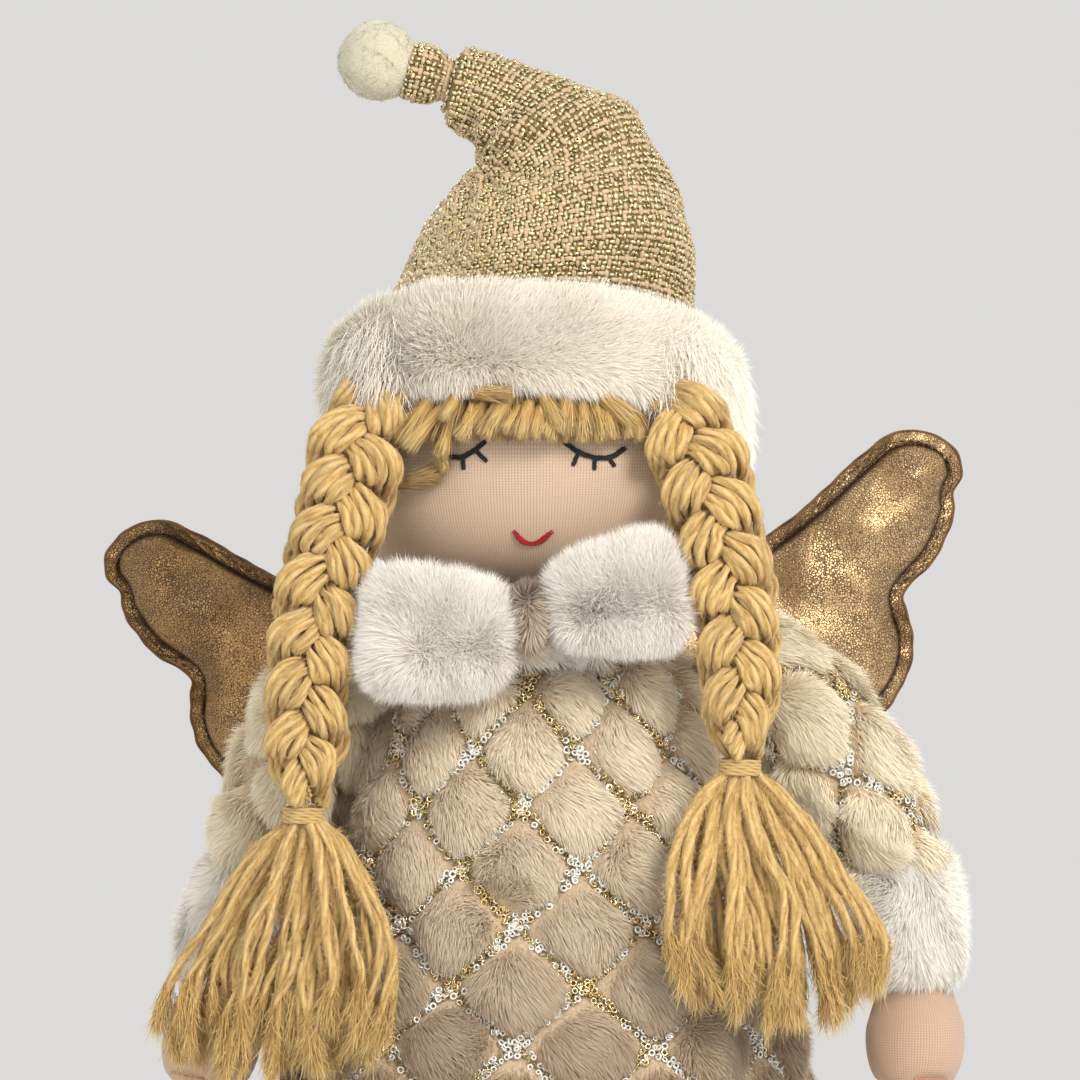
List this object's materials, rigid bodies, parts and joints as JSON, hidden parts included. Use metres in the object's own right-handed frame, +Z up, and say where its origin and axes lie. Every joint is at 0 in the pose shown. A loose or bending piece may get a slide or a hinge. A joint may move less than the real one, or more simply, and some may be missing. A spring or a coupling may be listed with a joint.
{
  "type": "christmas angel figurine",
  "caption": "Standing stuffed angel figurine in a quilted plush dress, with a tall bent hat, plaited yarn braids, soft arms and padded wings.",
  "frame": {"origin": "middle of the base disc's underside, on the surface the figure stands on", "axes": "+Z up; the figure looks along -Y; +X is towards the figure's own left hand"},
  "size_m": [0.2764, 0.1536, 0.3993],
  "materials": {
    "felt": "matte felt",
    "pellets": "woven bag of pellets",
    "dress_plush": "quilted plush",
    "white_plush": "long white plush",
    "jersey": "fine knitted jersey",
    "hat_weave": "metallic woven cloth",
    "hat_thread": "sewing thread",
    "pompom_felt": "felted wool",
    "yarn": "spun yarn",
    "wing_leather": "crackled metallic foil leather",
    "stuffing": "fibre stuffing"
  },
  "bodies": {
    "root": {"base_disc": "felt", "weight_bag": "pellets", "dress_body": "dress_plush", "head": "jersey", "hat_brim": "white_plush", "hat_crown": "hat_weave", "hat_tie": "hat_thread", "hat_tip": "hat_weave", "pompom": "pompom_felt", "fringe": "yarn", "collar_band": "white_plush", "collar_knot": "white_plush", "collar_lobe_right": "white_plush", "collar_lobe_left": "white_plush"},
    "arm_right": {"arm_right_sleeve": "dress_plush", "arm_right_cuff": "white_plush", "arm_right_hand": "jersey"},
    "braid_right": {"braid_right_strand_1": "yarn", "braid_right_strand_2": "yarn", "braid_right_strand_3": "yarn", "braid_right_tie": "yarn", "braid_right_tassel": "yarn"},
    "wing_right": {"wing_right_front": "wing_leather", "wing_right_back": "wing_leather", "wing_right_stuffing": "stuffing"},
    "arm_left": {"arm_left_sleeve": "dress_plush", "arm_left_cuff": "white_plush", "arm_left_hand": "jersey"},
    "braid_left": {"braid_left_strand_1": "yarn", "braid_left_strand_2": "yarn", "braid_left_strand_3": "yarn", "braid_left_tie": "yarn", "braid_left_tassel": "yarn"},
    "wing_left": {"wing_left_front": "wing_leather", "wing_left_back": "wing_leather", "wing_left_stuffing": "stuffing"}
  },
  "joints": [
    {"name": "arm_right_lift", "type": "hinge", "parent": "root", "child": "arm_right", "pos_m": [-0.05012, 0, 0.214], "axis": [0, 1, 0], "range_deg": [0, 60]},
    {"name": "arm_left_lift", "type": "hinge", "parent": "root", "child": "arm_left", "pos_m": [0.05012, 0, 0.214], "axis": [0, -1, 0], "range_deg": [0, 60]},
    {"name": "braid_right_swing", "type": "hinge", "parent": "root", "child": "braid_right", "pos_m": [-0.05748, -0.056, 0.282], "axis": [-1, 0, 0], "range_deg": [0, 35]},
    {"name": "braid_left_swing", "type": "hinge", "parent": "root", "child": "braid_left", "pos_m": [0.04002, -0.057, 0.283], "axis": [-1, 0, 0], "range_deg": [0, 35]},
    {"name": "wing_right_fold", "type": "hinge", "parent": "root", "child": "wing_right", "pos_m": [-0.004, 0.04637, 0.19], "axis": [0, 0, -1], "range_deg": [0, 40], "stiffness_Nm_per_rad": 0.02},
    {"name": "wing_left_fold", "type": "hinge", "parent": "root", "child": "wing_left", "pos_m": [0.007, 0.04637, 0.19], "axis": [0, 0, 1], "range_deg": [0, 40], "stiffness_Nm_per_rad": 0.02}
  ]
}
